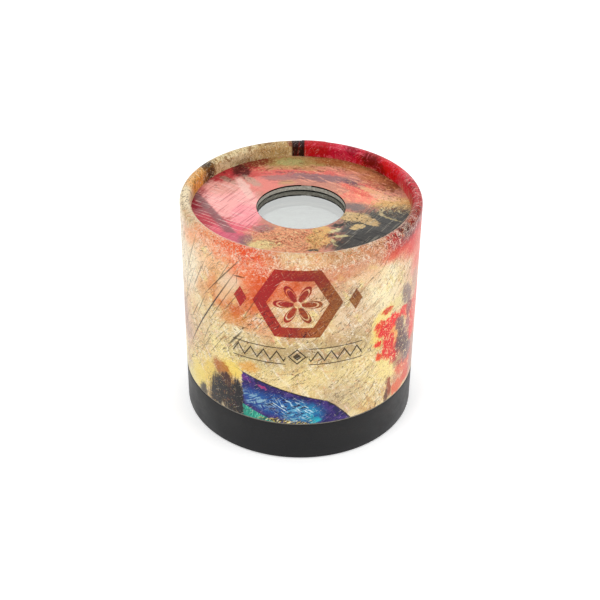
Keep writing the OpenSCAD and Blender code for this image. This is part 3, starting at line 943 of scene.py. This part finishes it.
def moulded_black():
    """Black ABS with a fine spark-eroded grain."""
    g = Graph("moulded_black")
    at = g.position()
    grain = g.noise(at, 4.0, 3, 0.6)
    tone = g.mix(g.span(g.noise(at, 0.2, 3), 0.3, 0.7), srgb("#161618"), srgb("#222225"))
    return g.worn(tone, grain, 0.42, 0.58, (grain, 0.02, 0.5))


def greyboard():
    """Unbleached grey board, with flecks on its faces and thin layers on its cut edges."""
    g = Graph("greyboard")
    at = g.position()
    fibres = g.noise(at, 1.6, 5, 0.7)
    height = g.put("SeparateXYZ", {0: at}).outputs["Z"]
    drift = g.both(g.noise(at, 0.8, 2), 3.0)
    plies = g.math("SINE", g.math("MULTIPLY_ADD", height, 17.0, drift))
    tone = g.ramp(g.span(fibres, 0.3, 0.7), (0.0, "#8f8a80"), (0.5, "#b4afa3"), (1.0, "#cdc8bb"))
    tone = g.mix(g.span(plies, 0.2, 1.0, 0.0, 0.35), tone, srgb("#8a8478"))
    flecks = g.span(g.noise(at, 3.4, 2, 0.6), 0.66, 0.72, 0.0, 0.7)
    return g.worn(g.mix(flecks, tone, srgb("#5c564c")), fibres, 0.8, 0.95, (fibres, 0.05, 0.6))


def glide_card():
    """The grey waxed card of the washer."""
    g = Graph("glide_card")
    fibres = g.noise(g.position(), 2.2, 4, 0.65)
    tone = g.ramp(g.span(fibres, 0.3, 0.7), (0.0, "#5e5952"), (1.0, "#7d776d"))
    return g.worn(tone, fibres, 0.4, 0.55, (fibres, 0.02, 0.4))


def black_card():
    """Matt black card, dyed through, with faint pale fibres."""
    g = Graph("black_card")
    fibres = g.noise(g.position(), 1.9, 5, 0.7)
    tone = g.ramp(g.span(fibres, 0.3, 0.75), (0.0, "#161514"), (0.7, "#24221f"), (1.0, "#3c3934"))
    return g.worn(tone, fibres, 0.78, 0.95, (fibres, 0.04, 0.6))


def black_tape():
    """Black cloth tape, with its weave."""
    g = Graph("black_tape")
    at = g.position()
    x, y, z = g.put("SeparateXYZ", {0: at}).outputs
    warp = g.math("SINE", g.math("MULTIPLY", g.math("ADD", x, y), 14.0))
    weave = g.both(warp, g.math("SINE", g.math("MULTIPLY", z, 14.0)))
    tone = g.mix(g.span(weave, -1, 1), srgb("#101012"), srgb("#222226"))
    return g.worn(tone, g.noise(at, 0.6, 3), 0.45, 0.62, (weave, 0.03, 0.5))


def packing_card():
    """Brown corrugated card, with its flutes."""
    g = Graph("packing_card")
    at = g.position()
    height = g.put("SeparateXYZ", {0: at}).outputs["Z"]
    flutes = g.math("SINE", g.math("MULTIPLY", height, 1.6))
    fibres = g.noise(at, 1.8, 4, 0.7)
    tone = g.ramp(g.span(fibres, 0.3, 0.7), (0.0, "#8c6c4a"), (0.5, "#a98860"), (1.0, "#c2a47a"))
    tone = g.mix(g.span(flutes, 0.2, 1.0, 0.0, 0.25), tone, srgb("#7a5c3e"))
    return g.worn(tone, fibres, 0.8, 0.95, (flutes, 0.15, 0.6))


def mirror():
    """Front-surface mirror, with a faint haze of handling."""
    g = Graph("mirror")
    haze = g.noise(g.position(), 0.15, 4, 0.6)
    tone = g.mix(g.span(haze, 0.4, 0.7), srgb("#f0f3f4"), srgb("#e2e8ea"))
    return g.solid(tone, metallic=1.0, roughness=g.span(haze, 0.5, 0.8, 0.015, 0.05))


def clear_pane(name, tint, sheen_low, sheen_high, smear):
    """Clear acrylic with an anti-scratch film: see-through from straight on, bright at a slant."""
    g = Graph(name)
    facing = g.put("LayerWeight", {"Blend": 0.5}).outputs["Facing"]
    marks = g.noise(g.local(g.position(), (0, 0), 30, (5, 1)), 0.35, 4, 0.6)
    rough = g.span(marks, 0.45, 0.75, smear, smear + 0.05)
    through = g.put("BsdfTransparent", {"Color": srgb(tint)}).outputs[0]
    gloss = g.put("BsdfGlossy", {"Color": srgb("#f2f4f2"), "Roughness": rough}).outputs[0]
    share = g.span(facing, 0.06, 0.46, sheen_low, sheen_high)
    return g.finish(g.put("MixShader", {0: share, 1: through, 2: gloss}).outputs[0])


def frosted_acrylic():
    """White translucent acrylic, frosted on both faces."""
    g = Graph("frosted_acrylic")
    frost = g.noise(g.position(), 3.0, 4, 0.7)
    tone = g.mix(g.span(frost, 0.3, 0.7), srgb("#eceeea"), srgb("#f8f9f6"))
    relief = (frost, 0.02, 0.5)
    return g.worn(tone, frost, 0.5, 0.7, relief, transmission_weight=0.4, ior=1.49)


def clear_styrene():
    """Clear styrene with a faint moulding flow."""
    g = Graph("clear_styrene")
    bands = {"Vector": g.position(), "Scale": 0.25, "Distortion": 3.0, "Detail": 2.0}
    flow = g.put("TexWave", bands, bands_direction="Z").outputs["Fac"]
    tone = g.mix(g.span(flow, 0.2, 0.8), srgb("#eef0ee"), srgb("#f8faf8"))
    rough = g.span(flow, 0.2, 0.8, 0.05, 0.12)
    return g.solid(tone, roughness=rough, transmission_weight=0.85, ior=1.59)


def bead(name, deep, bright, clear=0.5):
    """Glassy plastic with swirls of colour."""
    g = Graph(name)
    at = g.position()
    swirl = g.noise(at, 0.7, 4, 0.6, 1.5)
    tone = g.mix(g.span(swirl, 0.35, 0.65), srgb(deep), srgb(bright))
    glass = {"transmission_weight": clear, "ior": 1.5, "coat_weight": 0.4, "coat_roughness": 0.04}
    return g.worn(tone, g.noise(at, 2.0, 3), 0.06, 0.14, **glass)


def pearl():
    """Pearl with a soft play of pink and green."""
    g = Graph("pearl_bead")
    swirl = g.noise(g.position(), 0.9, 4, 0.6, 1.0)
    tone = g.ramp(swirl, (0.3, "#f3dfe0"), (0.5, "#f6efe2"), (0.7, "#dfeee4"))
    return g.worn(tone, swirl, 0.15, 0.25, coat_weight=0.6, coat_roughness=0.05)


def gold_foil():
    """Gold sequin foil with fine rolled lines."""
    g = Graph("gold_sequin")
    lines = g.noise(g.local(g.position(), (0, 0), 30, (12, 1)), 2.0, 3, 0.6)
    tone = g.mix(g.span(lines, 0.3, 0.7), srgb("#c99a2c"), srgb("#f1cf6c"))
    return g.worn(tone, lines, 0.18, 0.34, (lines, 0.02, 0.4), metallic=0.9)


# ---- Paper skins ----

SEAM_LIFT = 0.15 * MM
SEAM_RAMP = (12, 14)
EDGE_ROUND = 0.12 * MM
LIP_T = 0.05 * MM
LIP_H = 0.25 * MM
EDGE_GAP = 0.01 * MM
TURN_IN = 1.6 * MM
FOOT_ROUND = 0.3 * MM
INNER_CORNER = 0.1 * MM
DISC_FLAT = 3 * MM


def smooth(share):
    """0 to 1 with soft ends."""
    share = min(max(share, 0.0), 1.0)
    return share * share * (3 - 2 * share)


def arc(centre, radius, start, end, steps):
    """A round stretch of a section, as (r, z) points from one angle in degrees to another."""
    angles = [math.radians(start + (end - start) * i / steps) for i in range(steps + 1)]
    return [(centre[0] + radius * math.cos(a), centre[1] + radius * math.sin(a)) for a in angles]


def lap(before_seam):
    """How far paper stands proud, that many degrees before the seam, where it laps over itself."""
    low, high = SEAM_RAMP
    return SEAM_LIFT * smooth((high - before_seam) / (high - low))


def sheet_round(name, outer, inner, columns, seam=180, pleat=None, top_v=0.0, flat=False):
    """A closed sheet of paper turned round the axis, from the seam all the way back to it.

    outer and inner are the matching (r, z) points of its two faces. UV layer print holds mm:
    round from the front, and along outer with top_v at its first point. pleat(degrees, i) is
    how far point i of outer is pressed in or out. A flat sheet's layer print holds x and y.
    """
    count = len(outer)
    along = [0.0]
    for a, b in zip(outer, outer[1:]):
        along.append(along[-1] + math.dist(a, b))
    normals = []
    for i in range(count):
        a, b = Vector(outer[max(i - 1, 0)]), Vector(outer[min(i + 1, count - 1)])
        way = (b - a).normalized()
        normals.append(Vector((-way.y, way.x)))
    vertices, places = [], []
    for column in range(columns + 1):
        before_seam = 360 * (1 - column / columns)
        degrees = seam - before_seam
        turn = math.radians(degrees)
        for face in (outer, inner):
            for i, point in enumerate(face):
                r, z = point
                if face is outer:
                    rise = lap(before_seam) + (pleat(degrees, i) if pleat else 0.0)
                    r, z = Vector(point) + rise * normals[i]
                vertices.append((r * math.sin(turn), -r * math.cos(turn), z))
                if flat:
                    places.append((r * math.sin(turn) / MM, -r * math.cos(turn) / MM))
                else:
                    places.append((turn * DRUM_R / MM, top_v - along[i] / MM))
    ring = 2 * count
    faces = []
    for column in range(columns):
        here, there = column * ring, (column + 1) * ring
        for i in range(count - 1):
            faces.append((here + i, here + i + 1, there + i + 1, there + i))
            a, b = here + count + i, there + count + i
            faces.append((a, b, b + 1, a + 1))
        for i in (0, count - 1):
            faces.append((here + i, there + i, there + count + i, here + count + i))
    for here in (0, columns * ring):
        for i in range(count - 1):
            faces.append((here + i, here + count + i, here + count + i + 1, here + i + 1))
    mesh = bpy.data.meshes.new(name)
    mesh.from_pydata(vertices, [], faces)
    layer = mesh.uv_layers.new(name="print")
    for loop in mesh.loops:
        layer.data[loop.index].uv = places[loop.vertex_index]
    shell = bmesh.new()
    shell.from_mesh(mesh)
    bmesh.ops.recalc_face_normals(shell, faces=shell.faces)
    shell.to_mesh(mesh)
    shell.free()
    mesh.shade_smooth()
    mesh.set_sharp_from_angle(angle=math.radians(40))
    piece = bpy.data.objects.new(name, mesh)
    bpy.context.scene.collection.objects.link(piece)
    return piece


def dress(piece, body, node, material):
    """Puts a new piece in place of a CAD node, with its material."""
    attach(piece, body)
    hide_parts(node)
    piece.data.materials.clear()
    piece.data.materials.append(material)


RIM_STEPS = 28
PLEAT = 0.05 * MM


def rim_pleat(degrees, i):
    """Fine folds where the paper is drawn in over the rim, growing towards its inner edge."""
    inward = smooth((RIM_STEPS * 0.75 - i) / (RIM_STEPS * 0.5))
    a = math.radians(degrees)
    fold = math.sin(139 * a + 1.7 * math.sin(7 * a) + 1.1 * math.sin(17 * a + 1))
    deep = 0.55 + 0.45 * math.sin(31 * a + 1.3 * math.sin(5 * a))
    return PLEAT * inward * fold * deep


def wrap_face(radius, low, inner_low):
    """One face of the drum's paper: up the inside of the rim, over it, and down towards low."""
    mid = (RIM_MID_R, RIM_MID_Z)
    side = RIM_MID_R + radius
    face = [(RIM_MID_R - radius, inner_low)] + arc(mid, radius, 180, 0, RIM_STEPS)
    face += [(side, RIM_MID_Z + (low - RIM_MID_Z) * i / 4) for i in (1, 2, 3)]
    return face


def printed_wrap():
    """The drum's paper: inside of the rim, rim, wall, and a turn-in under the foot."""
    board = RIM_R - PAPER_T
    turned_r = WASHER_R - TURN_IN
    corner = FOOT_ROUND
    outer = wrap_face(RIM_R, FOOT_Z, DISC_Z)
    outer += arc((DRUM_R - corner, FOOT_Z + corner), corner, 0, -90, 4)
    outer.append((turned_r, FOOT_Z))
    inner_foot = FOOT_Z + PAPER_T
    inner = wrap_face(board, inner_foot, DISC_Z)
    inner += [(DRUM_R - PAPER_T, inner_foot + INNER_CORNER * (4 - i) / 4) for i in range(5)]
    inner.append((turned_r, inner_foot))
    over_rim = RIM_MID_Z - DISC_Z + math.pi * RIM_R
    top_v = (RIM_MID_Z + over_rim) / MM
    piece = sheet_round("drum_paper", outer, inner, columns=1080, pleat=rim_pleat, top_v=top_v)
    dress(piece, "drum", "printed_wrap", printed_paper())


def base_wrap():
    """The base's black paper, with rounded edges and a seam of its own."""
    low, high = BASE_LOW.z, BASE_HIGH.z
    inner_r = DRUM_R - PAPER_T
    corner = EDGE_ROUND
    heights = [high - (high - low) * i / 4 for i in (1, 2, 3)]
    outer = [(inner_r + EDGE_GAP, high)]
    outer += arc((DRUM_R - corner, high - corner), corner, 90, 0, 4)
    outer += [(DRUM_R, z) for z in heights]
    outer += arc((DRUM_R - corner, low + corner), corner, 0, -90, 4)
    outer.append((inner_r + EDGE_GAP, low))
    inner = [(inner_r, z) for _, z in outer]
    piece = sheet_round("base_paper", outer, inner, columns=540, seam=150)
    dress(piece, "object_cell", "base_wrap", black_paper())


def disc_print():
    """The top disc's paper, pressed a little into the hole."""
    low, high = DISC_LOW.z, DISC_HIGH.z
    edge_r = DISC_HIGH.x
    corner = EDGE_ROUND
    outer = [(edge_r, high), (RIM_MID_R - RIM_R, high), (HOLE_R + DISC_FLAT, high)]
    outer += arc((HOLE_R - LIP_T + corner, high - corner), corner, 90, 180, 4)
    inner = [(r, low) for r, _ in outer[:-1]] + [(HOLE_R, low)]
    outer.append((HOLE_R - LIP_T, low - LIP_H))
    inner.append((HOLE_R, low - LIP_H))
    piece = sheet_round("disc_paper", outer, inner, columns=360, flat=True)
    dress(piece, "drum", "top_disc_print", printed_disc_paper())


# ---- Finishes of the CAD pieces ----


def finish_cad():
    """Gives every other CAD piece its material."""
    board = greyboard()
    plastic = moulded_black()
    finishes = {
        ("base_ring", "bearing_collar", "cell_lock_ring"): plastic,
        ("drum_tube", "liner_tube", "top_disc", "window_carrier"): board,
        ("glide_washer",): glide_card(),
        ("window_seal", "mirror_tape_1", "mirror_tape_2", "mirror_tape_3"): black_tape(),
        ("upper_mirror_plate", "lower_mirror_plate"): black_card(),
        ("mirror_1", "mirror_2", "mirror_3"): mirror(),
        ("packing_block_1", "packing_block_2", "packing_block_3"): packing_card(),
        ("eyepiece_window",): clear_pane("clear_acrylic", "#f2f5f3", 0.07, 0.49, 0.03),
        ("cell_cover",): clear_pane("clear_cover", "#f4f6f5", 0.04, 0.3, 0.02),
        ("cell_spacer",): clear_styrene(),
        ("cell_diffuser",): frosted_acrylic(),
        ("ruby_beads",): bead("ruby_bead", "#8e0a1e", "#e0263f"),
        ("amber_beads",): bead("amber_bead", "#c06a0c", "#f7b93c"),
        ("sapphire_tubes",): bead("sapphire_bead", "#12337f", "#3f7fe0"),
        ("emerald_chips",): bead("emerald_bead", "#0b6a42", "#2bb77c"),
        ("violet_hexes",): bead("violet_bead", "#53228a", "#a56ad8", 0.3),
        ("pearl_rings",): pearl(),
        ("gold_stars",): gold_foil(),
    }
    for nodes, material in finishes.items():
        for node in nodes:
            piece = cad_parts[node]
            piece.data.materials.clear()
            piece.data.materials.append(material)


# ---- Stage ----

MIDDLE = Vector((0, 0, 0.04))


def white_floor():
    g = Graph("studio_floor")
    cloud = g.noise(g.position(), 0.004, 2)
    tone = g.mix(cloud, srgb("#fbfbfb"), srgb("#ffffff"))
    glow = {"emission_color": srgb("#ffffff"), "emission_strength": 0.3}
    return g.solid(tone, roughness=0.9, **glow)


def add_floor(size=4.0, drop=0.1 * MM):
    half = size / 2
    corners = [(-half, -half), (half, -half), (half, half), (-half, half)]
    mesh = bpy.data.meshes.new("floor")
    mesh.from_pydata([(x, y, -drop) for x, y in corners], [], [(0, 1, 2, 3)])
    mesh.materials.append(white_floor())
    floor = bpy.data.objects.new("floor", mesh)
    bpy.context.scene.collection.objects.link(floor)


def add_world(brightness):
    world = bpy.data.worlds.new("studio")
    world.use_nodes = True
    background = world.node_tree.nodes["Background"]
    background.inputs["Color"].default_value = (1, 1, 1, 1)
    background.inputs["Strength"].default_value = brightness
    bpy.context.scene.world = world


def soft_light(name, place, size, power):
    data = bpy.data.lights.new(name, "AREA")
    data.size = size
    data.energy = power
    light = bpy.data.objects.new(name, data)
    light.location = place
    light.rotation_mode = "QUATERNION"
    light.rotation_quaternion = (MIDDLE - Vector(place)).to_track_quat("-Z", "Y")
    bpy.context.scene.collection.objects.link(light)


def add_camera(elevation=33.46, distance=0.426, roll=0.68, lens=73.7, sensor=36, aim=0.0377):
    data = bpy.data.cameras.new("camera")
    data.sensor_width = sensor
    data.lens = lens
    camera = bpy.data.objects.new("camera", data)
    rise = math.radians(elevation)
    camera.location = Vector((0, -math.cos(rise), math.sin(rise))) * distance + MIDDLE
    look = Vector((0, 0, aim)) - camera.location
    tilt = Quaternion((0, 0, 1), math.radians(roll))
    camera.rotation_mode = "QUATERNION"
    camera.rotation_quaternion = look.to_track_quat("-Z", "Y") @ tilt
    bpy.context.scene.collection.objects.link(camera)
    bpy.context.scene.camera = camera


def add_studio():
    add_floor()
    add_world(0.55)
    soft_light("key", (-0.55, -0.6, 0.75), 0.5, 3.2)
    soft_light("fill", (0.7, -0.35, 0.5), 0.5, 2.4)
    soft_light("back", (0, 1.1, 0.85), 1.2, 3.2)
    soft_light("top", (0, 0.2, 1.1), 0.6, 1.6)
    add_camera()
    bpy.context.scene.view_settings.view_transform = "Standard"


printed_wrap()
base_wrap()
disc_print()
finish_cad()
add_studio()
